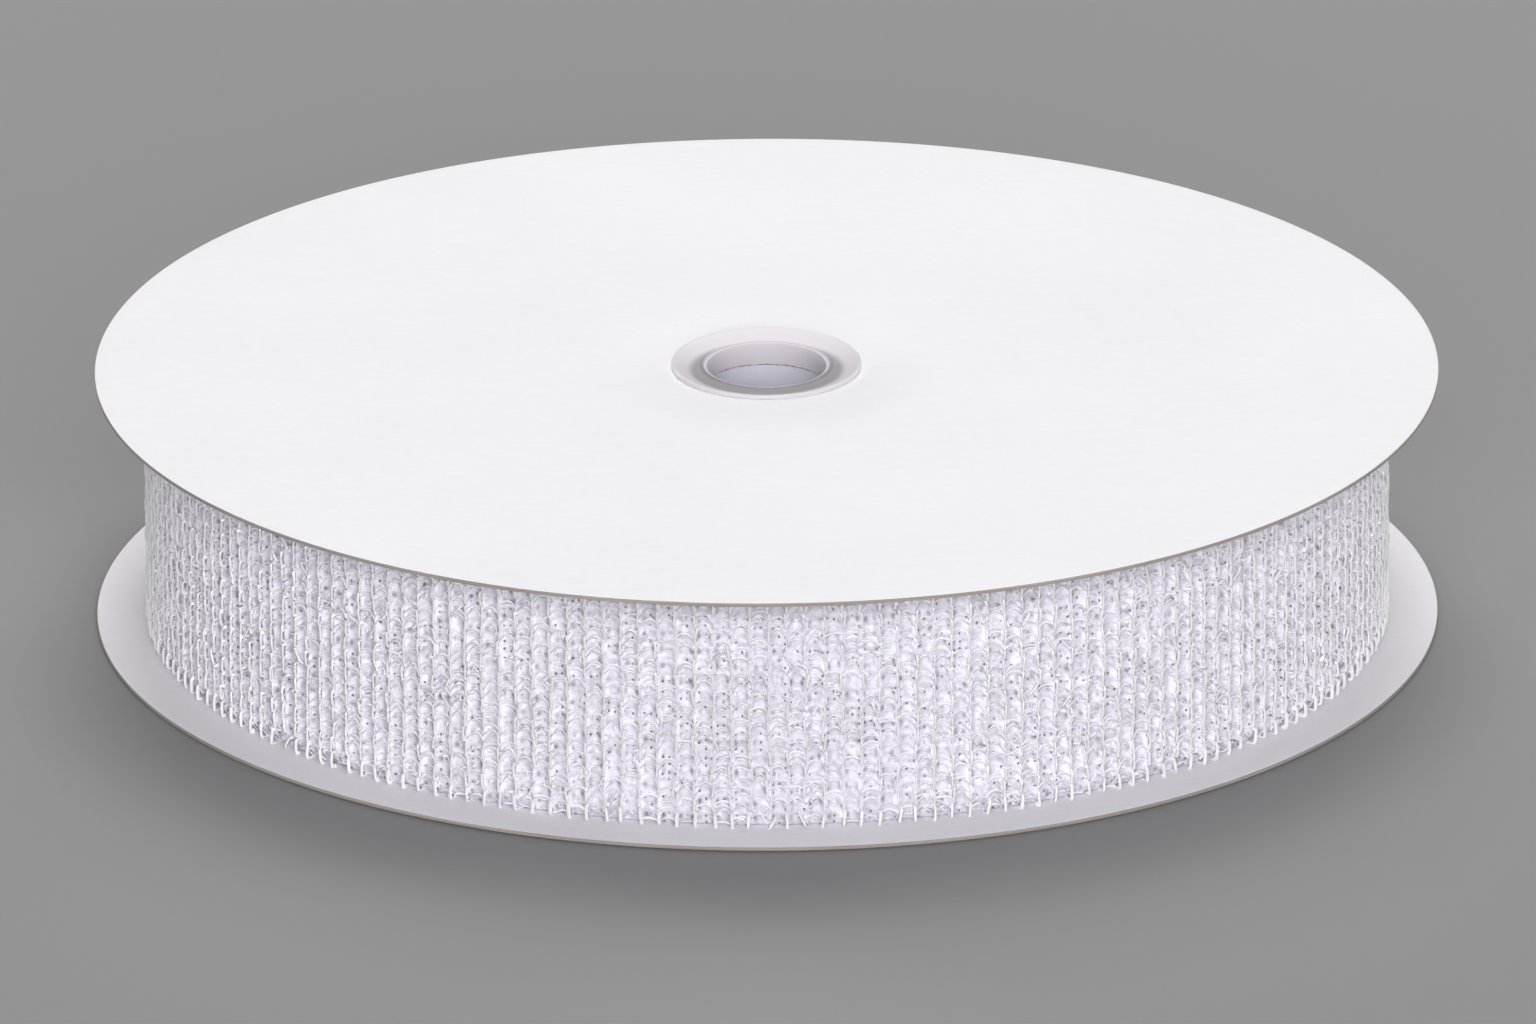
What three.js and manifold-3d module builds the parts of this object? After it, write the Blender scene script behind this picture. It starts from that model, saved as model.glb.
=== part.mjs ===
// A roll of woven hook tape on a paperboard reel.
// Two boards are clamped against a paper core tube by a plastic hub in two halves that snap together,
// and the tape is wound on the core with its hooks outwards.
// Millimetres. +Z is the reel's axis, and the origin is the middle of the lower hub rim's underside.

import * as THREE from 'three';
import Module from 'manifold-3d';
import { mergeVertices } from 'three/addons/utils/BufferGeometryUtils.js';

const wasm = await Module();
wasm.setup();

const { degToRad, radToDeg, smoothstep } = THREE.MathUtils;

// Reel
const boardThickness = 0.4; // white lined board of both flanges
const flangeOverhang = 5; // board that stands out past the hook tips
const coreWall = 2.7; // paper tube that spaces the boards and carries the first turn

// Hub
const arborHole = 12.5; // diameter of the bore for a spindle
const rimThickness = 0.45; // rim that lies on a board
const rimGrip = 1.8; // how far the rim reaches past its barrel
const rimEdgeRound = 0.25; // rounding of the rim's outer edge
const rimLand = 0.85; // flat ring inside that edge, which the reel lies on
const beadWidth = 0.3; // half-round bead at the mouth of the bore, as high as the flat ring
const beadFlank = 0.5; // rounded rise from the trough to the bead
const troughDepth = 0.5; // the rim is dished from the flat ring down to the foot of that rise
const lipDepth = 2.5; // from the rim's face to the end of the narrow bore
const plugRelief = 0.2; // step on the radius from the narrow bore to the plug's wider one
const plugWall = 0.8; // barrel of the lower half
const plugLeadIn = 0.3; // chamfer at the plug's end
const socketWall = 0.75; // barrel of the upper half
const pilotStandOut = 0.4; // height above the lower board of the collar that centres it
const snapDepth = 0.2; // ridge on the plug and groove in the socket
const snapHeight = 1.2;
const snapDrop = 3; // from the plug's end down to the middle of its ridge

// Tape
const tapeWidth = 25;
const groundThickness = 0.8; // woven ground without its hooks
const hookHeight = 1.3;
const innerTurns = 20; // turns under the outer one
const startAngle = degToRad(80); // where the outer turn leaves the roll, on the far side
const climbAngle = degToRad(80); // arc in which each turn climbs onto its own start
const freeEndLength = 28;

// Hooks, far fewer and stouter than the real ones
const hookColumns = 72; // to a turn, each on a flat of its own
const hookRows = 4; // across the tape's width
const hookBacking = 0.3; // slice of the ground that the hooks are woven into
const hookReach = 1.2; // from a hook's root to its tip, across the tape
const crownShare = 0.4; // where along that reach a hook is highest
const tipShare = 0.55; // height of the tip as a share of the hook's height
const hookRadius = 0.25; // at the root and the crown
const hookTipRadius = 0.15;
const hookSides = 3;
const hookNodes = 3; // lengths that the outer turn's hooks are split into

// Clearances
const fitGap = 0.1; // on the radius, between turned pieces that push together
const endGap = 0.3; // at the ends of those pieces
const tapeSeatGap = 0.1; // between the tape's lower edge and the board that it lies on
const tapeHeadGap = 0.9; // between its upper edge and the upper board
const windGap = 0.3; // between the core tube and the first turn
const windSlack = 0.485; // between hook tips and the back of the next turn
const plyGap = 0.1; // between the tape's ground and the slice that holds the hooks
const cutGap = 0.3; // along the tape, where the outer turn, its slices and the free end meet

// Smoothness
const boardSides = 72;
const hubSides = 36;
const curveSteps = 2;
const mergeDistance = 1e-4; // corners closer than this are one
const gapSamples = 720; // steps along the outer turn at which its gap to itself is measured

// Radii of the hub, from the bore outwards
const boreRadius = arborHole / 2;
const creaseRadius = boreRadius + beadWidth;
const troughRadius = creaseRadius + beadFlank;
const plugBoreRadius = boreRadius + plugRelief;
const plugRadius = plugBoreRadius + plugWall;
const socketRadius = plugRadius + fitGap;
const barrelRadius = socketRadius + socketWall;
const rimRadius = barrelRadius + rimGrip;
const landRadius = rimRadius - rimEdgeRound - rimLand;
const boardHoleRadius = barrelRadius + fitGap;
const coreRadius = boardHoleRadius + coreWall;

// Radii of the roll
const fullTurn = 2 * Math.PI;
const pitch = groundThickness + hookHeight + windSlack;
const firstRadius = coreRadius + windGap;
const rollRadius = firstRadius + innerTurns * pitch; // back of the outer turn
const flangeRadius = rollRadius + groundThickness + hookHeight + flangeOverhang;

// Levels, from the table upwards
const lowerFaceZ = rimThickness + boardThickness;
const tapeZ = lowerFaceZ + tapeSeatGap;
const upperBoardZ = tapeZ + tapeWidth + tapeHeadGap;
const upperFaceZ = upperBoardZ + boardThickness;
const topZ = upperFaceZ + rimThickness;
const lipZ = topZ - lipDepth;
const plugEndZ = lipZ - endGap;
const snapZ = plugEndZ - snapDrop;
const pilotZ = lowerFaceZ + pilotStandOut;

// Finishes
const boardFinish = { color: 0xf6f5f9, roughness: 0.85, metalness: 0 };
const kraftFinish = { color: 0xb49a78, roughness: 0.9, metalness: 0 };
const hubFinish = { color: 0xdedade, roughness: 0.3, metalness: 0 };
const groundFinish = { color: 0xdcd9e6, roughness: 0.7, metalness: 0 };
const hookFinish = { color: 0xf3f2f8, roughness: 0.35, metalness: 0 };

const reel = new THREE.Group();

function addPiece(name, geometry, finish) {
  const mesh = new THREE.Mesh(geometry, new THREE.MeshStandardMaterial(finish));
  mesh.name = name;
  reel.add(mesh);
}

// A ring turned about Z from a closed profile of (radius, height) points, listed anticlockwise.
function turned(profile, sides) {
  const geometry = new THREE.LatheGeometry([...profile, profile[0]], sides);
  return geometry.rotateX(Math.PI / 2);
}

const point = (radius, height) => new THREE.Vector2(radius, height);

// A plain ring of rectangular section.
function plainRing(innerRadius, outerRadius, fromZ, toZ, sides) {
  const corners = [
    point(innerRadius, fromZ),
    point(outerRadius, fromZ),
    point(outerRadius, toZ),
    point(innerRadius, toZ),
  ];
  return turned(corners, sides);
}

// Boards and core tube

addPiece(
  'lower_flange',
  plainRing(boardHoleRadius, flangeRadius, rimThickness, lowerFaceZ, boardSides),
  boardFinish,
);
addPiece(
  'upper_flange',
  plainRing(boardHoleRadius, flangeRadius, upperBoardZ, upperFaceZ, boardSides),
  boardFinish,
);
addPiece(
  'core_tube',
  plainRing(boardHoleRadius, coreRadius, lowerFaceZ, upperBoardZ, boardSides),
  kraftFinish,
);

// Hub

// The face of a rim from its outer edge to the bore: rounded edge, flat ring, dished trough, round bead.
// faceZ is the level of the flat ring, and inward is +1 or -1, the way along Z into the hub.
function rimFace(faceZ, inward) {
  const level = (depth) => faceZ + inward * depth;
  const path = new THREE.Path();
  path.moveTo(rimRadius, level(rimEdgeRound));
  path.quadraticCurveTo(rimRadius, faceZ, rimRadius - rimEdgeRound, faceZ);
  path.lineTo(landRadius, faceZ);
  path.lineTo(troughRadius, level(troughDepth));
  path.quadraticCurveTo(creaseRadius, level(troughDepth), creaseRadius, level(beadWidth / 2));
  path.quadraticCurveTo(creaseRadius, faceZ, boreRadius + beadWidth / 2, faceZ);
  path.quadraticCurveTo(boreRadius, faceZ, boreRadius, level(beadWidth / 2));
  return path.getPoints(curveSteps);
}

// The snap ridge on a barrel of the given radius, from its lower edge to its upper one.
function snapRidge(radius) {
  return [
    point(radius, snapZ - snapHeight / 2),
    point(radius + snapDepth, snapZ),
    point(radius, snapZ + snapHeight / 2),
  ];
}

const upperHubProfile = [
  point(barrelRadius, upperFaceZ),
  point(rimRadius, upperFaceZ),
  ...rimFace(topZ, -1),
  point(boreRadius, lipZ),
  point(socketRadius, lipZ),
  ...snapRidge(socketRadius).reverse(),
  point(socketRadius, pilotZ + endGap),
  point(barrelRadius, pilotZ + endGap),
];
addPiece('upper_hub', turned(upperHubProfile, hubSides), hubFinish);

const lowerHubProfile = [
  ...rimFace(0, 1).reverse(),
  point(rimRadius, rimThickness),
  point(barrelRadius, rimThickness),
  point(barrelRadius, pilotZ),
  point(plugRadius, pilotZ),
  ...snapRidge(plugRadius),
  point(plugRadius, plugEndZ - plugLeadIn),
  point(plugRadius - plugLeadIn, plugEndZ),
  point(plugBoreRadius, plugEndZ),
  point(plugBoreRadius, lipDepth),
  point(boreRadius, lipDepth),
];
addPiece('lower_hub', turned(lowerHubProfile, hubSides), hubFinish);

// Tape

// Radius of the back of the outer turn, at an angle counted from its start: steady, then a smooth climb
// by one pitch onto its own start. Every turn below it climbs in the same arc.
function backRadius(angle) {
  return rollRadius + pitch * smoothstep(angle, fullTurn - climbAngle, fullTurn);
}

// The point in plan that stands off from the outer turn's back at an angle counted from its start.
function planPoint(angle, standOff) {
  const radius = backRadius(angle) + standOff;
  const turn = startAngle + angle;
  return point(radius * Math.cos(turn), radius * Math.sin(turn));
}

// Angles of the edges between flats, from one angle to another.
function flatEdges(fromAngle, toAngle, flats) {
  return Array.from({ length: flats + 1 }, (_, i) => fromAngle + (i * (toAngle - fromAngle)) / flats);
}

// A length of tape between two stand-offs from the back, as wide as the tape.
function tapeLength(angles, innerStandOff, outerStandOff) {
  const outer = angles.map((angle) => planPoint(angle, outerStandOff));
  const inner = angles.map((angle) => planPoint(angle, innerStandOff));
  return raised(new THREE.Shape([...outer, ...inner.reverse()]));
}

function raised(shape) {
  const geometry = new THREE.ExtrudeGeometry(shape, { depth: tapeWidth, bevelEnabled: false });
  return geometry.translate(0, 0, tapeZ);
}

// Turns under the outer one, as one body with the step that the outer turn starts from.
const innerShape = new THREE.Shape(
  flatEdges(0, fullTurn, hookColumns).map((angle) => planPoint(angle, -windSlack)),
);
innerShape.holes.push(
  new THREE.Path(
    flatEdges(0, fullTurn, boardSides)
      .slice(1)
      .map((angle) => point(firstRadius * Math.cos(angle), firstRadius * Math.sin(angle))),
  ),
);
addPiece('tape_inner_turns', raised(innerShape), groundFinish);

const columnAngle = fullTurn / hookColumns;
const outerColumns = hookColumns + 1; // the last one lies over the turn's own start
const outerEnd = outerColumns * columnAngle;
const outerStart = cutGap / rollRadius;
const outerEdges = flatEdges(0, outerEnd, outerColumns);
outerEdges[0] = outerStart;

const plyThickness = groundThickness - hookBacking - plyGap;
addPiece('tape_outer_turn', tapeLength(outerEdges, 0, plyThickness), groundFinish);

const freeRadius = rollRadius + pitch;
const freeStart = outerEnd + cutGap / freeRadius;
const freeColumns = Math.max(1, Math.round(freeEndLength / (freeRadius * columnAngle)));
const freeEdges = flatEdges(freeStart, freeStart + freeEndLength / freeRadius, freeColumns);
addPiece('tape_free_end', tapeLength(freeEdges, 0, plyThickness), groundFinish);

// Hooks

// A closed strand of flat sides along its points, each with a radius and a lean away from the outward
// direction, in the plane of that direction and Z. The across direction is square to that plane.
function strand(rings, outward, across) {
  const up = new THREE.Vector3(0, 0, 1);
  const positions = [];
  for (const { centre, radius, lean } of rings) {
    const side = up.clone().multiplyScalar(Math.cos(lean)).addScaledVector(outward, -Math.sin(lean));
    for (let k = 0; k < hookSides; k += 1) {
      const around = Math.PI / 2 + (k * fullTurn) / hookSides;
      const corner = centre.clone()
        .addScaledVector(across, radius * Math.cos(around))
        .addScaledVector(side, radius * Math.sin(around));
      positions.push(corner.x, corner.y, corner.z);
    }
  }
  const indices = [];
  for (let ring = 0; ring + 1 < rings.length; ring += 1) {
    for (let k = 0; k < hookSides; k += 1) {
      const a = ring * hookSides + k;
      const b = ring * hookSides + ((k + 1) % hookSides);
      indices.push(a, b, b + hookSides, a, b + hookSides, a + hookSides);
    }
  }
  const last = (rings.length - 1) * hookSides;
  for (let k = 1; k + 1 < hookSides; k += 1) {
    indices.push(0, k + 1, k, last, last + k, last + k + 1);
  }
  const geometry = new THREE.BufferGeometry();
  geometry.setAttribute('position', new THREE.Float32BufferAttribute(positions, 3));
  geometry.setIndex(indices);
  return geometry;
}

// One hook on the flat between two plan points: up from the ground, over the crown and down to the tip.
// way is +1 or -1, the way along Z that it turns over.
function hook(from, to, rootZ, way) {
  const across = new THREE.Vector3(to.x - from.x, to.y - from.y, 0).normalize();
  const outward = new THREE.Vector3(across.y, -across.x, 0);
  const root = new THREE.Vector3((from.x + to.x) / 2, (from.y + to.y) / 2, rootZ);
  const place = (rise, reach) => root.clone()
    .addScaledVector(outward, rise)
    .add(new THREE.Vector3(0, 0, way * reach));
  const crownRise = hookHeight - hookRadius / 2;
  const tipRise = hookHeight * tipShare;
  const crownReach = hookReach * crownShare;
  const stemLean = way * Math.atan2(crownReach, crownRise);
  const tipLean = way * Math.atan2(hookReach - crownReach, tipRise - crownRise);
  return strand(
    [
      { centre: place(-hookBacking / 2, 0), radius: hookRadius, lean: 0 },
      { centre: place(crownRise, crownReach), radius: hookRadius, lean: (stemLean + tipLean) / 2 },
      { centre: place(tipRise, hookReach), radius: hookTipRadius, lean: tipLean },
    ],
    outward,
    across,
  );
}

function toSolid(geometry) {
  const bare = geometry.clone();
  bare.deleteAttribute('normal');
  bare.deleteAttribute('uv');
  const merged = mergeVertices(bare, mergeDistance);
  return new wasm.Manifold(new wasm.Mesh({
    numProp: 3,
    vertProperties: merged.attributes.position.array,
    triVerts: new Uint32Array(merged.index.array),
  }));
}

function toGeometry(solid) {
  const { vertProperties, triVerts } = solid.getMesh();
  const geometry = new THREE.BufferGeometry();
  geometry.setAttribute('position', new THREE.BufferAttribute(vertProperties, 3));
  geometry.setIndex(new THREE.BufferAttribute(triVerts, 1));
  return geometry;
}

// A slice of the ground with a column of hooks on each of its flats. Neighbouring columns turn over
// opposite ways, and each hook is centred on its share of the width.
function hookedSlice(angles) {
  const rowPitch = tapeWidth / hookRows;
  let solid = toSolid(tapeLength(angles, groundThickness - hookBacking, groundThickness));
  for (let column = 0; column + 1 < angles.length; column += 1) {
    const from = planPoint(angles[column], groundThickness);
    const to = planPoint(angles[column + 1], groundThickness);
    const way = column % 2 === 0 ? 1 : -1;
    for (let row = 0; row < hookRows; row += 1) {
      const rootZ = tapeZ + (row + 0.5) * rowPitch - (way * hookReach) / 2;
      solid = solid.add(toSolid(hook(from, to, rootZ, way)));
    }
  }
  return toGeometry(solid);
}

for (let part = 0; part < hookNodes; part += 1) {
  const first = Math.floor((part * outerColumns) / hookNodes);
  const end = Math.floor(((part + 1) * outerColumns) / hookNodes);
  const edges = outerEdges.slice(first, end + 1);
  if (part > 0) edges[0] += cutGap / rollRadius;
  addPiece(`outer_turn_hooks_${part + 1}`, hookedSlice(edges), hookFinish);
}
addPiece('free_end_hooks', hookedSlice(freeEdges), hookFinish);

// Least gap from the ground of the outer turn to its own back one turn later, on sampled points.
function leastGapToItself() {
  const angles = flatEdges(outerStart, outerEnd, gapSamples);
  const backs = angles.map((angle) => planPoint(angle, 0));
  let least = Infinity;
  angles.forEach((angle, i) => {
    const face = planPoint(angle, groundThickness);
    for (let j = i + gapSamples / 2; j < backs.length; j += 1) {
      least = Math.min(least, face.distanceTo(backs[j]));
    }
  });
  return least;
}

// Length of tape on the roll, along the middle of its ground.
function woundLength() {
  const meanRadius = firstRadius + groundThickness / 2 + (innerTurns * pitch) / 2;
  return fullTurn * meanRadius * (innerTurns + 1) + freeEndLength;
}

const hingeRadius = freeRadius + groundThickness;
console.log(`flange diameter ${(2 * flangeRadius).toFixed(1)} mm, height ${topZ.toFixed(2)} mm`);
console.log(`tape ${(woundLength() / 1000).toFixed(2)} m, wound at ${pitch.toFixed(2)} mm a turn`);
console.log(`least gap of the outer turn to itself ${leastGapToItself().toFixed(2)} mm`);
console.log(
  `free end lifts about ${hingeRadius.toFixed(3)} mm from the axis,`,
  `at ${radToDeg(startAngle + outerEnd - fullTurn).toFixed(2)} degrees`,
);

export default reel;
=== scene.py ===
import math
from collections import namedtuple

import bpy
import numpy as np
from mathutils import Matrix, Vector


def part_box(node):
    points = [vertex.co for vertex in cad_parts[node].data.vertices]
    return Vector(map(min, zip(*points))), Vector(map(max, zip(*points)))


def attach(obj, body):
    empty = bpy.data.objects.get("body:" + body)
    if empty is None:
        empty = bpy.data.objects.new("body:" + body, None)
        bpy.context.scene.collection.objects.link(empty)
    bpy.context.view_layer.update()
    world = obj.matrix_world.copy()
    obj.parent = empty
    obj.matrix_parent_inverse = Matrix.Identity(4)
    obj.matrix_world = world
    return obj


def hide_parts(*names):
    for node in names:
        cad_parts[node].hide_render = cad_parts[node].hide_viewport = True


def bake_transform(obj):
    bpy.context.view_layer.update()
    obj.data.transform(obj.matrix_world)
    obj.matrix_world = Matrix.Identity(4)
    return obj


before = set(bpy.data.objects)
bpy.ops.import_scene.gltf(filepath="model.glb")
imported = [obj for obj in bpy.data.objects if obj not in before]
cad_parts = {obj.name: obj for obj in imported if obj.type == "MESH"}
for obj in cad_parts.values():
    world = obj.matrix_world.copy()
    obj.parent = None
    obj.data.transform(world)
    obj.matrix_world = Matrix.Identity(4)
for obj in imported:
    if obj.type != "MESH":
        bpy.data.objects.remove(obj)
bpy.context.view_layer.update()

mm = 0.001
turn = 2 * math.pi

# levels and radii that the frame gives
upperLow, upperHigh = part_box("upper_flange")
lowerLow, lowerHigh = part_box("lower_flange")
tapeLow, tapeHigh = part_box("tape_inner_turns")
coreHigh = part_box("core_tube")[1]
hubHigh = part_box("upper_hub")[1]
flangeRadius = upperHigh[0]
coreRadius = coreHigh[0]
tapeFloor = tapeLow[2]
tapeWidth = tapeHigh[2] - tapeLow[2]


# mesh from blocks of points, each of shape (copies, rows, columns, 3)
# the columns of a copy close into a ring, anticlockwise about the way that its rows run
# the rows close into a torus if loop is set, and are capped at both ends if not
# edges that bend by more than sharp, in degrees, stay hard
def meshPiece(name, blocks, loop=False, uv=None, sharp=None, faceMaterial=None):
    corners, starts, materialIndex = [], [], []
    offset = loopCount = 0
    for points in blocks:
        copies, rows, columns, _ = points.shape
        index = offset + np.arange(copies * rows * columns).reshape(copies, rows, columns)
        near = index if loop else index[:, :-1]
        far = np.roll(index, -1, axis=1) if loop else index[:, 1:]
        quads = np.stack([near, np.roll(near, -1, 2), np.roll(far, -1, 2), far], axis=-1).reshape(-1, 4)
        corners.append(quads.ravel())
        starts.append(loopCount + 4 * np.arange(len(quads)))
        loopCount += quads.size
        if faceMaterial is not None:
            materialIndex.append(np.broadcast_to(faceMaterial, near.shape).ravel())
        if not loop:
            for cap in (index[:, 0, ::-1], index[:, -1]):
                corners.append(cap.ravel())
                starts.append(loopCount + columns * np.arange(copies))
                loopCount += cap.size
        offset += copies * rows * columns
    mesh = bpy.data.meshes.new(name)
    mesh.vertices.add(offset)
    places = np.concatenate([points.reshape(-1, 3) for points in blocks])
    mesh.vertices.foreach_set("co", places.astype(np.float32).ravel())
    cornerVertex = np.concatenate(corners).astype(np.int32)
    faceStart = np.concatenate(starts).astype(np.int32)
    mesh.loops.add(len(cornerVertex))
    mesh.polygons.add(len(faceStart))
    mesh.polygons.foreach_set("loop_start", faceStart)
    mesh.loops.foreach_set("vertex_index", cornerVertex)
    if uv is not None:
        layer = mesh.uv_layers.new(name="alongAcross")
        layer.uv.foreach_set("vector", uv.reshape(-1, 2)[cornerVertex].astype(np.float32).ravel())
    mesh.update(calc_edges=True)
    mesh.shade_smooth()
    if sharp is not None:
        mesh.set_sharp_from_angle(angle=math.radians(sharp))
    if materialIndex:
        mesh.polygons.foreach_set("material_index", np.concatenate(materialIndex).astype(np.int32))
    mesh.validate()
    piece = bpy.data.objects.new(name, mesh)
    bpy.context.collection.objects.link(piece)
    print("piece", name, len(mesh.polygons), "faces")
    return piece


# materials of a piece, the nodes that it stands for, and its body
def dress(piece, materials, body="reel", nodes=()):
    for material in materials:
        piece.data.materials.append(material)
    if nodes:
        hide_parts(*nodes)
    if body:
        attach(piece, body)
    return piece


# smooth step from 0 to 1 between two values
def easeBetween(low, high, value):
    share = np.clip((value - low) / (high - low), 0, 1)
    return share * share * (3 - 2 * share)


# ring of points round Z: profile (columns, 2) of radius and height, clockwise in that plane
def spunPoints(profile, sides, lift=None):
    angle = turn * np.arange(sides)[:, None] / sides
    radius = np.broadcast_to(profile[None, :, 0], (sides, len(profile)))
    height = np.broadcast_to(profile[None, :, 1], radius.shape)
    if lift is not None:
        height = height + lift(radius, angle, height)
    return np.stack([radius * np.cos(angle), radius * np.sin(angle), height], axis=-1)[None]


# quadratic curve through a start, a pull point and an end
def bent(start, pull, end, steps):
    t = np.linspace(0, 1, steps + 1)[:, None]
    return (1 - t) ** 2 * np.array(start) + 2 * t * (1 - t) * np.array(pull) + t ** 2 * np.array(end)


# random values round a mean, cut off at two limits
def limited(rng, spread, size):
    mean, deviation, low, high = spread
    return np.clip(rng.normal(mean, deviation, size), low, high)


# straight run of points between two corners, without the last one
def straight(start, end, steps):
    t = np.linspace(0, 1, steps, endpoint=False)[:, None]
    return np.array(start) * (1 - t) + np.array(end) * t


# node with its settings and input values, and links into it as (input, source)
def addNode(tree, kind, links=(), **settings):
    node = tree.nodes.new(kind)
    for key, value in settings.items():
        if key in node.bl_rna.properties:
            setattr(node, key, value)
        else:
            node.inputs[key].default_value = value
    for socket, source in links:
        tree.links.new(source, node.inputs[socket])
    return node


# cloudy tone round 1 and a height, from noise at one scale: used by every finish here
def makeCloudGroup():
    group = bpy.data.node_groups.new("cloudTone", "ShaderNodeTree")
    group.interface.new_socket("Vector", in_out="INPUT", socket_type="NodeSocketVector")
    for label in ("Scale", "Amount", "Detail"):
        group.interface.new_socket(label, in_out="INPUT", socket_type="NodeSocketFloat")
    for label in ("Tone", "Height"):
        group.interface.new_socket(label, in_out="OUTPUT", socket_type="NodeSocketFloat")
    given, result = group.nodes.new("NodeGroupInput"), group.nodes.new("NodeGroupOutput")
    noise = addNode(group, "ShaderNodeTexNoise",
                    [(label, given.outputs[label]) for label in ("Vector", "Scale", "Detail")])
    centred = addNode(group, "ShaderNodeMath", [(0, noise.outputs["Fac"])], operation="SUBTRACT")
    centred.inputs[1].default_value = 0.5       # the noise's middle
    scaled = addNode(group, "ShaderNodeMath", [
        (0, centred.outputs[0]), (1, given.outputs["Amount"])], operation="MULTIPLY_ADD")
    scaled.inputs[2].default_value = 1.0        # the tone's middle
    group.links.new(scaled.outputs[0], result.inputs["Tone"])
    group.links.new(noise.outputs["Fac"], result.inputs["Height"])
    return group


cloudGroup = makeCloudGroup()
Cloud = namedtuple("Cloud", "tone height")


class Finish:
    # a material with its Principled shader and short ways to add to it
    def __init__(self, name, **sockets):
        self.material = bpy.data.materials.new(name)
        self.material.use_nodes = True
        self.tree = self.material.node_tree
        self.shader = self.tree.nodes["Principled BSDF"]
        for label, value in sockets.items():
            self.shader.inputs[label.replace("_", " ")].default_value = value
        coordinates = self.tree.nodes.new("ShaderNodeTexCoord").outputs
        self.place, self.unrolled = coordinates["Object"], coordinates["UV"]

    def cloud(self, vector, scale, amount, detail=3.0):
        node = addNode(self.tree, "ShaderNodeGroup", [("Vector", vector)], node_tree=cloudGroup,
                       Scale=scale, Amount=amount, Detail=detail)
        return Cloud(node.outputs["Tone"], node.outputs["Height"])

    def stretched(self, vector, scale, turned=0.0):     # turned about Z
        return addNode(self.tree, "ShaderNodeMapping", [("Vector", vector)],
                       Scale=scale, Rotation=(0, 0, turned)).outputs[0]

    def math(self, operation, *values):
        node = addNode(self.tree, "ShaderNodeMath", operation=operation)
        for socket, value in zip(node.inputs, values):
            if isinstance(value, (int, float)):
                socket.default_value = value
            else:
                self.tree.links.new(value, socket)
        return node.outputs[0]

    def times(self, product, *others):
        for other in others:
            product = self.math("MULTIPLY", product, other)
        return product

    def ease(self, value, low, high):       # smooth step from 0 to 1
        limits = {"From Min": low, "From Max": high}
        return addNode(self.tree, "ShaderNodeMapRange", [("Value", value)],
                       interpolation_type="SMOOTHSTEP", **limits).outputs["Result"]

    def tint(self, colour, tone):           # colour times tone
        node = addNode(self.tree, "ShaderNodeMix", [(7, tone)], data_type="RGBA", blend_type="MULTIPLY",
                       Factor=1.0)
        node.inputs[6].default_value = (*colour, 1)
        return node.outputs[2]

    def between(self, share, low, high):    # mix of two colours
        node = addNode(self.tree, "ShaderNodeMix", [("Factor", share)], data_type="RGBA")
        for socket, colour in ((node.inputs[6], low), (node.inputs[7], high)):
            if isinstance(colour, tuple):
                socket.default_value = (*colour, 1)
            else:
                self.tree.links.new(colour, socket)
        return node.outputs[2]

    # distance from the reel's axis, or from one shifted towards the front or back
    def fromAxis(self, shift=0.0):
        flat = addNode(self.tree, "ShaderNodeVectorMath", [(0, self.place)], operation="MULTIPLY_ADD")
        flat.inputs[1].default_value = (1, 1, 0)
        flat.inputs[2].default_value = (0, shift, 0)
        away = addNode(self.tree, "ShaderNodeVectorMath", [(0, flat.outputs[0])], operation="LENGTH")
        return away.outputs["Value"]

    def bump(self, height, distance, under=None):       # relief, on top of another one
        node = addNode(self.tree, "ShaderNodeBump", [("Height", height)], Distance=distance)
        if under is not None:
            self.tree.links.new(under, node.inputs["Normal"])
        self.tree.links.new(node.outputs["Normal"], self.shader.inputs["Normal"])
        return node.outputs["Normal"]

    def colour(self, source):
        self.tree.links.new(source, self.shader.inputs["Base Color"])

    def rough(self, source):
        self.tree.links.new(source, self.shader.inputs["Roughness"])


# white lined board: faint clouds, short fibre strokes, a fine tooth and a shallow dish round the hub
def makeBoardFinish():
    look = {
        "colour": (0.905, 0.893, 0.922),
        "rough": 0.62,
        "clouds": (32, 0.08),               # scale and amount
        "fibres": (420, 0.06, 4),           # and detail
        "fibreStretch": ((1, 5, 1), 0.4),   # and turn
        "tooth": (2600, 0.05, 2),
        "toothShare": 0.6,                  # of the relief
        "relief": 0.03 * mm,
        "dish": (9 * mm, 19 * mm),
        "dishDepth": 0.75 * mm,
    }
    finish = Finish("whiteBoard")
    place = finish.place
    cloud = finish.cloud(place, *look["clouds"])
    fibres = finish.cloud(finish.stretched(place, *look["fibreStretch"]), *look["fibres"])
    tooth = finish.cloud(place, *look["tooth"])
    tone = finish.times(cloud.tone, fibres.tone, tooth.tone)
    finish.colour(finish.tint(look["colour"], tone))
    finish.rough(finish.times(cloud.tone, look["rough"]))
    toothHeight = finish.times(tooth.height, look["toothShare"])
    dish = finish.bump(finish.ease(finish.fromAxis(), *look["dish"]), look["dishDepth"])
    finish.bump(finish.math("ADD", fibres.height, toothHeight), look["relief"], under=dish)
    return finish.material


# raw die-cut edge of the board: thin grey-brown plies
def makeEdgeFinish():
    look = {
        "dark": (0.23, 0.195, 0.18),
        "pale": (0.52, 0.47, 0.445),
        "plies": (90, 90, 5200),
        "specks": (900, 0.5),
        "relief": 0.05 * mm,
    }
    finish = Finish("boardEdge", Roughness=0.9)
    place = finish.place
    plies = finish.cloud(finish.stretched(place, look["plies"]), 1.0, 1.0)
    specks = finish.cloud(place, *look["specks"])
    finish.colour(finish.between(plies.height, look["dark"], look["pale"]))
    finish.bump(finish.math("ADD", plies.height, specks.height), look["relief"])
    return finish.material


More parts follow.
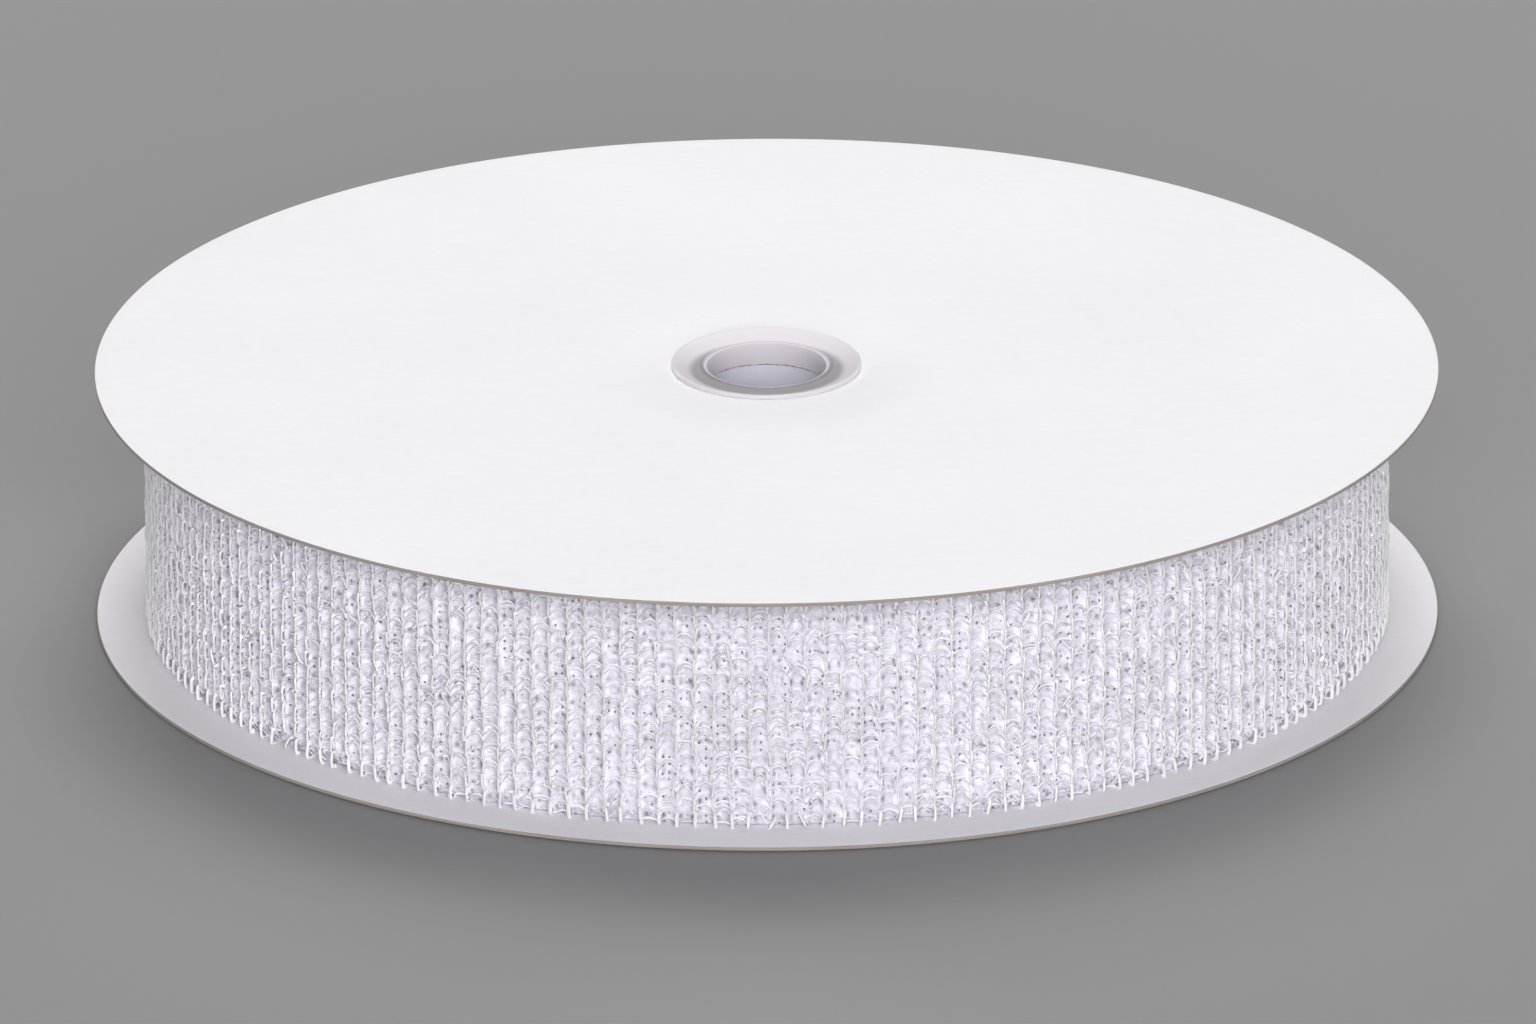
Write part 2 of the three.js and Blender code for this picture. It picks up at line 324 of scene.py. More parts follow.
# brown paper of the core tube
def makeKraftFinish():
    look = {"colour": (0.43, 0.30, 0.18), "fibres": (380, 0.35, 4), "fibreStretch": (1, 1, 4),
            "relief": 0.06 * mm}
    finish = Finish("kraftTube", Roughness=0.85)
    place = finish.stretched(finish.place, look["fibreStretch"])
    fibres = finish.cloud(place, *look["fibres"])
    finish.colour(finish.tint(look["colour"], fibres.tone))
    finish.bump(fibres.height, look["relief"])
    return finish.material


# milky polypropylene of the hub, with painted shade: light over the board and at the bead, a painted grey
# ring over the deep barrel where the dark bore lies behind, widened at the front where the dish faces away
# from the lamps the painted grey ring and the painted dark line in the crease inside it are only on the rims,
# at the hub's two ends
def makeHubFinish(name, colour, barrelShadeTone):
    look = {
        "bead": (6.5 * mm, 6.8 * mm),       # radii between which the painted grey shade ring begins
        "beadShift": -0.55 * mm,
        "board": (7.5 * mm, 8.5 * mm),      # and ends
        "frontShadeShift": 1.3 * mm,             # the painted shade ring is wider at the front, where the dish faces away from the lamps
        "ends": (13.05 * mm, 13.3 * mm),    # from the middle of the hub's height
        "creaseFrom": (6.52 * mm, 6.62 * mm),
        "creaseTo": (6.85 * mm, 7.1 * mm),
        "creaseShadeTone": 0.24,
        "clouds": (220, 0.06),
        "scuffs": (900, 0.25),
        "scuffStretch": ((1, 6, 1), 0.7),
        "rough": 0.32,
        "relief": 0.01 * mm,
    }
    finish = Finish(name, Subsurface_Weight=0.3, Subsurface_Radius=(1, 1, 1.1), Subsurface_Scale=0.001,
                    IOR=1.49, Specular_IOR_Level=0.25)
    place = finish.place
    height = addNode(finish.tree, "ShaderNodeSeparateXYZ", [("Vector", place)]).outputs["Z"]
    fromMiddle = finish.math("ABSOLUTE", finish.math("SUBTRACT", height, hubHigh[2] / 2))
    atEnds = finish.ease(fromMiddle, *look["ends"])
    pastBead = finish.times(atEnds, finish.ease(finish.fromAxis(look["beadShift"]), *look["bead"]))
    overBoard = finish.ease(finish.fromAxis(look["frontShadeShift"]), *look["board"])
    barrelShade = finish.times(pastBead, finish.math("SUBTRACT", 1, overBoard))
    cloud = finish.cloud(place, *look["clouds"])
    scuff = finish.cloud(finish.stretched(place, *look["scuffStretch"]), *look["scuffs"])
    depth = finish.math("SUBTRACT", 1, finish.times(barrelShade, 1 - barrelShadeTone))
    # painted shade: a dark line in the crease between the trough and the bead
    crease = finish.math("SUBTRACT", finish.ease(finish.fromAxis(), *look["creaseFrom"]),
                         finish.ease(finish.fromAxis(), *look["creaseTo"]))
    crease = finish.times(crease, atEnds, look["creaseShadeTone"])
    depth = finish.times(depth, finish.math("SUBTRACT", 1, crease))
    finish.colour(finish.tint(colour, finish.times(depth, cloud.tone)))
    finish.rough(finish.times(scuff.tone, look["rough"]))
    finish.bump(scuff.height, look["relief"])
    return finish.material


# woven ground: pale bowed yarns with fine filaments, painted glints in random white flecks, and painted shade
# in small dark eyes, the pits between yarns, set in strings eyes are the middles of jittered cells, three to
# a hook column, kept or left out in drifting strings
def makeGroundFinish():
    look = {
        "yarn": (0.785, 0.758, 0.845),
        "pitShadeColour": (0.13, 0.12, 0.15),
        "filaments": (5200, 0.3, 2),        # scale, amount and detail
        "filamentStretch": (0.15, 1, 1),
        "patches": (1200, 0.8, 2),
        "clouds": (90, 0.2),
        "glintFlecks": (1700, 1.0, 2),
        "glintFleckEdge": (0.56, 0.68),
        "glintFleckTone": 0.22,
        "whitest": 1.24,
        "eyeCell": (1 / (0.618 * mm), 1 / (0.9 * mm), 1),
        "eyeJitter": 0.4,
        "eyeSize": (0.10, 0.21),            # in cells
        "pitShadeStrength": 0.9,
        "eyeDepth": 2,                      # in filaments
        "strings": (520, 60, 1),
        "stringAmount": 1.6,
        "stringEdge": (0.5, 0.95),
        "relief": 0.04 * mm,
    }
    finish = Finish("wovenGround", Roughness=0.5)
    place, solid = finish.unrolled, finish.place
    # the yarnShading values of the mesh carry painted light and shade
    yarns = addNode(finish.tree, "ShaderNodeAttribute", attribute_name="yarnShading").outputs["Fac"]
    filaments = finish.cloud(finish.stretched(place, look["filamentStretch"]), *look["filaments"])
    patches = finish.cloud(solid, *look["patches"])
    clouds = finish.cloud(solid, *look["clouds"])
    tone = finish.times(filaments.tone, patches.tone, clouds.tone, yarns)
    # painted glints: random white flecks added to the tone
    glintFlecks = finish.ease(finish.cloud(place, *look["glintFlecks"]).height, *look["glintFleckEdge"])
    tone = finish.math("ADD", tone, finish.times(glintFlecks, look["glintFleckTone"]))
    tone = finish.math("MINIMUM", tone, look["whitest"])
    cells = addNode(finish.tree, "ShaderNodeTexVoronoi",
                    [("Vector", finish.stretched(place, look["eyeCell"]))],
                    voronoi_dimensions="2D", Scale=1.0, Randomness=look["eyeJitter"])
    # painted shade: dark eyes where the pits between yarns lie
    near = finish.math("SUBTRACT", 1, finish.ease(cells.outputs["Distance"], *look["eyeSize"]))
    chance = addNode(finish.tree, "ShaderNodeSeparateColor", [("Color", cells.outputs["Color"])])
    strings = finish.cloud(finish.stretched(place, look["strings"]), 1.0, look["stringAmount"], 1)
    there = finish.ease(finish.times(chance.outputs["Red"], strings.tone), *look["stringEdge"])
    pitShade = finish.times(near, finish.times(there, look["pitShadeStrength"]))
    finish.colour(finish.between(pitShade, finish.tint(look["yarn"], tone), look["pitShadeColour"]))
    eyeDepth = finish.times(pitShade, look["eyeDepth"])
    finish.bump(finish.math("SUBTRACT", filaments.height, eyeDepth), look["relief"])
    return finish.material


# nylon monofilament of the hooks: whiter than the ground, clouded, with a hard gloss
def makeHookFinish():
    look = {"colour": (0.965, 0.96, 0.99), "rough": 0.12, "clouds": (700, 0.12), "kinks": (2200, 0.3, 1),
            "relief": 0.12 * mm}
    finish = Finish("hookNylon", IOR=1.53, Specular_IOR_Level=0.9, Subsurface_Weight=0.5,
                    Subsurface_Radius=(1, 1, 1), Subsurface_Scale=0.0003)
    cloud = finish.cloud(finish.place, *look["clouds"])
    kinks = finish.cloud(finish.place, *look["kinks"])
    finish.colour(finish.tint(look["colour"], cloud.tone))
    finish.rough(finish.times(cloud.tone, look["rough"]))
    finish.bump(kinks.height, look["relief"])
    return finish.material


# bulked yarn of the floats and tufts: white, soft and without gloss
def makeYarnFinish():
    look = {"colour": (0.955, 0.94, 0.985), "fluff": (3000, 0.2, 2), "relief": 0.04 * mm}
    finish = Finish("floatYarn", Roughness=0.45)
    fluff = finish.cloud(finish.place, *look["fluff"])
    finish.colour(finish.tint(look["colour"], fluff.tone))
    finish.bump(fluff.height, look["relief"])
    return finish.material


boardFinish = makeBoardFinish()
edgeFinish = makeEdgeFinish()
kraftFinish = makeKraftFinish()
# the last value is the tone of the painted barrel shade
hubFinish = makeHubFinish("hubMilky", (0.725, 0.68, 0.725), 0.52)
plugFinish = makeHubFinish("plugMilky", (0.80, 0.79, 0.875), 0.6)
groundFinish = makeGroundFinish()
hookFinish = makeHookFinish()
yarnFinish = makeYarnFinish()
print("finishes:", len(bpy.data.materials))


# boards

board = {
    "sides": 720,
    "edgeCrush": 0.10 * mm,     # rounding that the cutting die leaves
    "faceSteps": 40,
    "edgeSteps": 4,
    "rimLift": 0.10 * mm,       # long waves of the upper rim
    "lowerLift": 0.05 * mm,     # and of the lower one
    "upperPhase": 0.8,
    "lowerPhase": 2.9,
    "waves": ((2, 1, 1), (3, -2, 0.6), (5, 1, 0.35)),   # to the turn, times the phase, strength
    "sag": 0.33 * mm,           # the lower board droops from the hub until its rim is on the table
    "sagFrom": 12 * mm,
    "sagTo": 66 * mm,
    "hole": 8.2 * mm,
    "humpSpot": (-42 * mm, 29 * mm),
    "humpSize": (15 * mm, 8 * mm),
    "humpHeight": 0.16 * mm,
}


# drop of the lower board, and of the tape that lies on it, at a radius
def sagAt(radius):
    return board["sag"] * easeBetween(board["sagFrom"], board["sagTo"], radius)


# closed section of a board: radius and height, clockwise, with small rounded corners at the rim
def boardProfile(low, high):
    crush = board["edgeCrush"]
    rim, hole = flangeRadius, board["hole"]
    top = straight((hole, high), (rim - crush, high), board["faceSteps"])
    upperCorner = bent((rim - crush, high), (rim, high), (rim, high - crush), board["edgeSteps"])
    lowerCorner = bent((rim, low + crush), (rim, low), (rim - crush, low), board["edgeSteps"])
    bottom = straight((rim - crush, low), (hole, low), board["faceSteps"])[1:]
    points = np.concatenate([top, upperCorner, lowerCorner, bottom, [(hole, low)]])
    onRim = np.zeros(len(points), int)
    onRim[len(top) + 1:len(top) + len(upperCorner) + len(lowerCorner) - 2] = 1
    return points, onRim


# slow waves that grow to the rim: the cube of the radius times a weighted mean of cosines
def rimWaves(radius, angle, phase):
    reach = (radius / flangeRadius) ** 3
    waves = sum(strength * np.cos(count * angle + lag * phase) for count, lag, strength in board["waves"])
    return reach * waves / sum(strength for count, lag, strength in board["waves"])


# upper board: waves and a soft hump in one place, exp(-(across / a)^2 - (deep / b)^2)
def upperLift(radius, angle, height):
    across = (radius * np.cos(angle) - board["humpSpot"][0]) / board["humpSize"][0]
    deep = (radius * np.sin(angle) - board["humpSpot"][1]) / board["humpSize"][1]
    hump = board["humpHeight"] * np.exp(-across ** 2 - deep ** 2)
    return board["rimLift"] * rimWaves(radius, angle, board["upperPhase"]) + hump


# lower board: waves and the droop to the table
def lowerLift(radius, angle, height):
    return board["lowerLift"] * rimWaves(radius, angle, board["lowerPhase"]) - sagAt(radius)


# a board: its section carried round Z and lifted by its own waves
def makeBoard(name, node, low, high, lift):
    profile, onRim = boardProfile(low, high)
    points = spunPoints(profile, board["sides"], lift)
    piece = meshPiece(name, [points], loop=True, sharp=50, faceMaterial=onRim)
    dress(piece, [boardFinish, edgeFinish], nodes=[node])


makeBoard("upperBoard", "upper_flange", upperLow[2], upperHigh[2], upperLift)
makeBoard("lowerBoard", "lower_flange", lowerLow[2], lowerHigh[2], lowerLift)
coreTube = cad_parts["core_tube"].data     # the frame's own tube with a better finish
coreTube.materials.clear()
coreTube.materials.append(kraftFinish)


# hub

hub = {
    "sides": 240,
    "bore": 6.25 * mm,
    "rim": hubHigh[0],
    "rimThick": 0.45 * mm,
    "edgeRound": 0.25 * mm,
    "proud": 0.12 * mm,         # the rim's edge stands a little over the solid's
    "beadDrop": 0.36 * mm,      # and its bead a little under it
    "tilt": math.radians(1.2),  # the rim's face is not quite level
    "bead": 0.3 * mm,
    "beadFlank": 0.5 * mm,
    "troughDepth": 0.46 * mm,
    "dishPull": 0.62,           # how full the dish is, as a share of that depth
    "lipDepth": 2.5 * mm,
    "plugBore": 6.45 * mm,
    "plug": 7.25 * mm,
    "socket": 7.35 * mm,
    "barrel": 8.1 * mm,
    "endGap": 0.3 * mm,
    "seam": 0.15 * mm,          # gap between the lip and the plug pushed up against it
    "pilot": 1.25 * mm,
    "leadIn": 0.3 * mm,
    "snapDrop": 3.0 * mm,
    "snapHeight": 1.2 * mm,
    "snapDepth": 0.2 * mm,
    "flash": 0.09 * mm,         # ragged moulding flash at the end of the lip
    "flashWaves": ((17, 0), (41, 1), (67, 2.3)),    # to the turn, and phase
    "flashReach": 0.15 * mm,
    "flashInside": 0.5 * mm,    # from the socket
    "tiltFrom": -0.1 * mm,      # the tilt sets in here, from the board's face
    "tiltTo": 0.25 * mm,
    "curveSteps": 8,
    "lipSteps": 12,
}


# rim face from its edge to the bore: rounded edge, dished ring, trough and half-round bead
def rimFace(level, inward):
    steps = hub["curveSteps"]
    at = lambda radius, depth: (radius, level + inward * depth)
    rim, bore, edgeRound, deep = hub["rim"], hub["bore"], hub["edgeRound"], hub["troughDepth"]
    crease = bore + hub["bead"]
    trough = crease + hub["beadFlank"]
    half, crest = hub["bead"] / 2, hub["beadDrop"]
    dish = at(0.5 * (rim + trough), hub["dishPull"] * deep)
    return np.concatenate([
        bent(at(rim, edgeRound), at(rim, 0), at(rim - edgeRound, 0), steps),
        bent(at(rim - edgeRound, 0), dish, at(trough, deep), 2 * steps)[1:],
        bent(at(trough, deep), at(crease, deep), at(crease, crest + half), steps)[1:],
        bent(at(crease, crest + half), at(crease, crest), at(bore + half, crest), steps)[1:],
        bent(at(bore + half, crest), at(bore, crest), at(bore, crest + half), steps)[1:],
    ])


# the snap's ridge or groove: two slopes that meet at its level
def snapRidge(radius, level):
    half = hub["snapHeight"] / 2
    return np.array([(radius, level - half), (radius + hub["snapDepth"], level), (radius, level + half)])


# hub halves: closed sections carried round Z, the lower one's plug inside the upper one's socket
def makeHub():
    top = hubHigh[2] + hub["proud"]
    lip = hubHigh[2] - hub["lipDepth"]
    snap = lip - hub["endGap"] - hub["snapDrop"]
    plugEnd = lip - hub["seam"]
    beadFoot = top - hub["beadDrop"] - hub["bead"] / 2

    # ragged flash at the end of the lip, a mean of three sines, and a tilt that fades out at the board
    def hubLift(radius, angle, height):
        ragged = np.mean([np.sin(count * angle + phase) for count, phase in hub["flashWaves"]], axis=0)
        inside = radius < hub["socket"] - hub["flashInside"]
        nearLip = np.exp(-((height - lip) / hub["flashReach"]) ** 2) * inside
        tilted = easeBetween(upperHigh[2] + hub["tiltFrom"], upperHigh[2] + hub["tiltTo"], height)
        return hub["flash"] * ragged * nearLip + math.tan(hub["tilt"]) * radius * np.sin(angle) * tilted

    upper = np.concatenate([
        [(hub["barrel"], upperHigh[2]), (hub["rim"], upperHigh[2])],
        rimFace(top, -1),
        straight((hub["bore"], beadFoot), (hub["bore"], lip), hub["lipSteps"])[1:],
        [(hub["bore"], lip), (hub["socket"], lip)],
        snapRidge(hub["socket"], snap)[::-1],
        [(hub["socket"], hub["pilot"] + hub["endGap"]), (hub["barrel"], hub["pilot"] + hub["endGap"])],
    ])
    lower = np.concatenate([
        rimFace(0, 1)[::-1],
        [(hub["rim"], hub["rimThick"]), (hub["barrel"], hub["rimThick"])],
        [(hub["barrel"], hub["pilot"]), (hub["plug"], hub["pilot"])],
        snapRidge(hub["plug"], snap),
        [(hub["plug"], plugEnd - hub["leadIn"]), (hub["plug"] - hub["leadIn"], plugEnd)],
        [(hub["plugBore"], plugEnd), (hub["plugBore"], hub["lipDepth"]), (hub["bore"], hub["lipDepth"])],
    ])
    for name, node, profile, finish, lift in (
            ("upperHub", "upper_hub", upper, hubFinish, hubLift),
            ("lowerHub", "lower_hub", lower, plugFinish, None)):
        piece = meshPiece(name, [spunPoints(profile[::-1], hub["sides"], lift)], loop=True, sharp=35)
        dress(piece, [finish], nodes=[node])


makeHub()


# tape path

tape = {
    "ground": 0.8 * mm,
    "hookHeight": 1.3 * mm,
    "slack": 0.485 * mm,
    "coreGap": 0.3 * mm,
    "innerTurns": 20,
    "innerSteps": 120,               # to a turn
    "start": math.radians(80),       # where the outer turn leaves the roll
    "climb": math.radians(80),
    "outerTurn": math.radians(365),
    "freeLength": 28 * mm,
    "bendLength": 15 * mm,           # in which the free end bends when it lifts
}
pitch = tape["ground"] + tape["hookHeight"] + tape["slack"]
outerFrom = tape["innerTurns"] * turn
freeFrom = outerFrom + tape["outerTurn"]
rollRadius = coreRadius + tape["coreGap"] + tape["innerTurns"] * pitch
freeRadius = rollRadius + pitch
freeTo = freeFrom + tape["freeLength"] / freeRadius


# radius of the tape's back, wound angle counted from the core: each turn is round, then climbs one pitch
def windRadius(wound):
    whole = np.floor(wound / turn + 1e-9)   # a full turn counts as full in spite of rounding
    part = wound - whole * turn
    climbed = easeBetween(turn - tape["climb"], turn, part)
    return coreRadius + tape["coreGap"] + pitch * (whole + climbed)


# points on the tape: wound angle, stand-off from its back, distance across from its lower edge
def onTape(wound, standOff, across):
    radius = windRadius(wound) + standOff
    angle = tape["start"] + wound
    height = tapeFloor - sagAt(radius) + across
    return np.stack([radius * np.cos(angle), radius * np.sin(angle), height], axis=-1)


# one value to a point, which a material reads by its name
def addValues(piece, name, values):
    attribute = piece.data.attributes.new(name, "FLOAT", "POINT")
    attribute.data.foreach_set("value", values.astype(np.float32).ravel())


# inner turns: one strip wound twenty times, of plain section
def makeInnerTurns():
    steps = tape["innerSteps"] * tape["innerTurns"]
    across = np.array([[0, 0.5, 1, 1, 0.5, 0]]) * tapeWidth
    standOff = np.array([[0, 0, 0, 1, 1, 1]]) * tape["ground"]
    wound = np.linspace(0, outerFrom, steps + 1)[:, None]
    points = onTape(wound, standOff, across)
    uv = np.stack(np.broadcast_arrays(wound * rollRadius, across), axis=-1)
    piece = meshPiece("innerTurns", [points[None]], uv=uv, sharp=50)
    addValues(piece, "yarnShading", np.ones(points.shape[:2]))
    dress(piece, [groundFinish], nodes=["tape_inner_turns"])


# hook sizes; the last lines are how far single hooks stray from them

hooks = {
    "rows": 15,
    "height": tape["hookHeight"],
    "halfSpan": 0.76 * mm,      # half the width of the arch, to the middle of the strand
    "archRise": 0.30 * mm,
    "squareness": 4.5,          # 2 is a round arch, more is flatter on top
    "radius": 0.105 * mm,
    "crown": 1.2,               # strand is thickest at the top of the arch
    "edgeCrown": 1.8,           # and thicker in the rows along the edges
    "cutSpread": 2.5,           # the knife flattens the end that it cuts
    "sides": 5,
    "rootDepth": 0.2 * mm,
    "archPoints": 8,
    "legDrop": 0.10 * mm,       # cut leg, below the arch
    "uncut": 0.10,              # share of loops that the knife missed
    "turnedRound": 0.15,
    "askew": 0.04,              # share that the winding has twisted
    "askewTurn": (math.radians(20), math.radians(50)),
    "overhang": 0.08 * mm,      # the lowest and highest rows stand out past the edges
    "strayAlong": 0.016,        # in columns
    "strayAcross": 0.035,       # in rows
    "straySpan": 0.05,
    "strayHeight": (-0.05, 0.05, -0.18, 0.02),  # mean, spread and limits, as shares
    "strayLean": math.radians(5),
    "strayCut": 0.8,
    "straySplay": 0.03 * mm,
    "strayCrown": (1, 0.3, 0.3, 1.5),
    "straySpread": (1, 0.35, 0.2, 1.8),
    "spreadFrom": (0.68, 0.92), # along the strand
}


# woven ground

weave = {
    "columns": 216,             # hook columns on the outer turn, each on a cord of the weave
    "columnSteps": 10,          # points to a column
    "warps": 28,                # yarns along the tape
    "warpSteps": 4,             # points to a yarn
    "cordRise": 0.40 * mm,
    "cordSpread": 0.42 * mm,
    "cordBeads": 0.10,          # swelling of a cord at each row of hooks, as a share
    "beadDrift": 0.3 / mm,      # how far the beads follow the cord's wander
    "cordWander": 0.03 * mm,
    "wanderTurns": (2.3, 6.1, 13),      # waves of a cord across the tape
    "wanderShares": (1, 1, 0.6),
    "edgeTaper": 1.2 * mm,      # cords run out towards the tape's edges
    "edgeCord": 0.25,           # to this share of their height
    "yarnRise": 0.14 * mm,
    "bow": 0.8,                 # rise of a yarn between two cords, in yarns
    "floor": 0.10 * mm,         # valleys lie this far under the ground's face at the edges
    "pile": 0.38 * mm,          # and this much higher between the rows of hooks
    "unevenness": 0.012 * mm,
    "yarnFull": (0.65, 0.35),   # mean fullness of a yarn and how far it swings
    "swingWaves": (3.7, 1.7, 0.8),      # across the tape, lag from cord to cord, along the tape
    # painted light on the crests: yarns and cords lighter on top, yarns darker in the grooves between them
    "plainTone": 0.92,
    "yarnShading": 0.14,
    "cordHighlightTone": 0.12,
    "rootGlint": (0.33 * mm, 0.42 * mm),     # painted glint at each hook's root, along and across
    "rootGlintStray": 0.18 * mm,
    "rootGlintTone": 0.60,
    "hollow": (0.19 * mm, 0.34 * mm),   # painted shade: grey spots beside the cords, under the hook arches
    "hollowStray": 0.07 * mm,
    "hollowRows": 15,
    "hollowOff": 0.40 * mm,
    "hollowShadeTone": 0.70,
    "spotStrength": (0.6, 0.4, 0, 1.2), # of the painted root glints and the painted hollow shade: mean, spread and limits
    # painted shade: the ground darker within this distance of both edges
    "edgeShadeWidth": 4 * mm,
    "edgeShadeTone": 0.13,
}
columnAngle = tape["outerTurn"] / weave["columns"]
columnPitch = columnAngle * (rollRadius + tape["ground"])


# soft spots, one to a column and row of the tape: strength * exp(-(along / a)^2 - (across / b)^2)
def softSpots(rng, size, rows, column, columns, distance, across, jitter):
    row = np.minimum(np.floor(across[0] * rows), rows - 1).astype(int)
    shape, cell = (columns + 1, rows), np.ix_(column, row)
    strength = limited(rng, weave["spotStrength"], shape)[cell]
    offAlong = jitter * rng.normal(size=shape)[cell]
    offAcross = jitter * rng.normal(size=shape)[cell]
    alongAway = (distance - offAlong) / size[0]
    acrossAway = ((across * rows - row - 0.5) * tapeWidth / rows - offAcross) / size[1]
    return strength * np.exp(-alongAway ** 2 - acrossAway ** 2)


# a length of ground: round cords under the hook columns, with bowed yarns over them, closed all round
# cord = exp(-(distance / spread)^2), beaded at each row; yarn = cos^4 of the bowed distance across
def makeGround(name, woundFrom, woundTo, columns, seed):
    rng = np.random.default_rng(seed)
    rows = columns * weave["columnSteps"] + 1
    faceColumns = weave["warps"] * weave["warpSteps"] + 1
    along = np.linspace(0, columns, rows)[:, None]
    across = np.linspace(0, 1, faceColumns)[None, :]
    column = np.minimum(np.floor(along), columns - 1).astype(int)[:, 0]
    waves = rng.uniform(0, turn, (3, columns + 1))[:, column, None]
    wander = weave["cordWander"] * sum(
        strength * np.sin(turn * turns * across + wave)
        for strength, turns, wave in zip(weave["wanderShares"], weave["wanderTurns"], waves))
    share = along % 1
    distance = (share - 0.5) * columnPitch - wander
    rowPhase = turn * hooks["rows"] * (across - 0.5 / hooks["rows"])
    beads = 1 + weave["cordBeads"] * np.cos(rowPhase + weave["beadDrift"] * wander)
    toEdge = np.minimum(across, 1 - across) * tapeWidth
    inside = easeBetween(0, weave["edgeTaper"], toEdge)
    beads = beads * (weave["edgeCord"] + (1 - weave["edgeCord"]) * inside)
    cord = weave["cordRise"] * beads * np.exp(-(distance / weave["cordSpread"]) ** 2)
    fromCord = (share + 0.5) % 1
    bowed = across * weave["warps"] - weave["bow"] * 4 * fromCord * (1 - fromCord)
    full, swing = weave["yarnFull"]
    swingAcross, lag, swingAlong = weave["swingWaves"]
    swings = np.sin(turn * swingAcross * across + lag * waves[1]) * np.sin(waves[2] + swingAlong * along)
    yarn = (full + swing * swings) * np.cos(np.pi * bowed) ** 4
    relief = cord - weave["floor"] + weave["pile"] * inside + weave["yarnRise"] * yarn
    relief = relief + weave["unevenness"] * rng.normal(size=relief.shape)
    wound = np.linspace(woundFrom, woundTo, rows)[:, None]
    front = onTape(wound, tape["ground"] + relief, across * tapeWidth)[:, ::-1]
    backAcross = np.array([[0, 0.25, 0.5, 0.75, 1]])
    flat = np.zeros((rows, backAcross.size))
    back = onTape(wound, flat, backAcross * tapeWidth)
    points = np.concatenate([back, front], axis=1)
    acrossReal = np.concatenate([backAcross, across[:, ::-1]], axis=1) * tapeWidth
    uv = np.stack(np.broadcast_arrays((wound - outerFrom) * rollRadius, acrossReal), axis=-1)
    piece = meshPiece(name, [points[None]], uv=uv)
    rootGlints = softSpots(rng, weave["rootGlint"], hooks["rows"], column, columns,
                      distance, across, weave["rootGlintStray"])
    hollowShade = sum(
        softSpots(rng, weave["hollow"], weave["hollowRows"], column, columns,
                  distance + side * weave["hollowOff"], across, weave["hollowStray"])
        for side in (-1, 1))
    # tone of each point, with painted light: lighter crests, painted glints at the hook roots, painted shade
    # beside the cords and towards both edges
    onCord = np.exp(-(distance / weave["cordSpread"]) ** 2)
    tone = weave["plainTone"] + weave["yarnShading"] * yarn + weave["cordHighlightTone"] * onCord
    tone = tone + weave["rootGlintTone"] * rootGlints - weave["hollowShadeTone"] * hollowShade
    tone = tone * (1 - weave["edgeShadeTone"] * (1 - easeBetween(0, weave["edgeShadeWidth"], toEdge)))
    addValues(piece, "yarnShading", np.concatenate([np.ones(flat.shape), tone[:, ::-1]], axis=1))
    return piece


# hook strands: tubes along curves in the plane of outward and across, which are (hooks, rings)
# each hook stands at a wound angle and a distance across, leans along the tape and twists about itself
def strandPoints(across, outward, way, wound, acrossAt, lean, twist, radius):
    slopes = np.stack([np.gradient(across, axis=1), np.gradient(outward, axis=1)])
    slopeAcross, slopeOut = (slopes / np.hypot(*slopes))[..., None]
    across, outward, radius = across[..., None], outward[..., None], radius[..., None]
    way, wound, acrossAt, lean, twist = (each[:, None, None] for each in (way, wound, acrossAt, lean, twist))
    ring = turn * np.arange(hooks["sides"]) / hooks["sides"]
    inPlane = radius * np.sin(ring)
    out = outward - way * slopeAcross * inPlane
    over = way * across + slopeOut * inPlane
    along = radius * np.cos(ring) + outward * np.tan(lean) + over * np.sin(twist)
    over = over * np.cos(twist) + acrossAt
    angle = tape["start"] + wound
    base = windRadius(wound) + tape["ground"] + out
    x = base * np.cos(angle) - along * np.sin(angle)
    y = base * np.sin(angle) + along * np.cos(angle)
    return np.stack([x, y, tapeFloor - sagAt(base) + over], axis=-1)


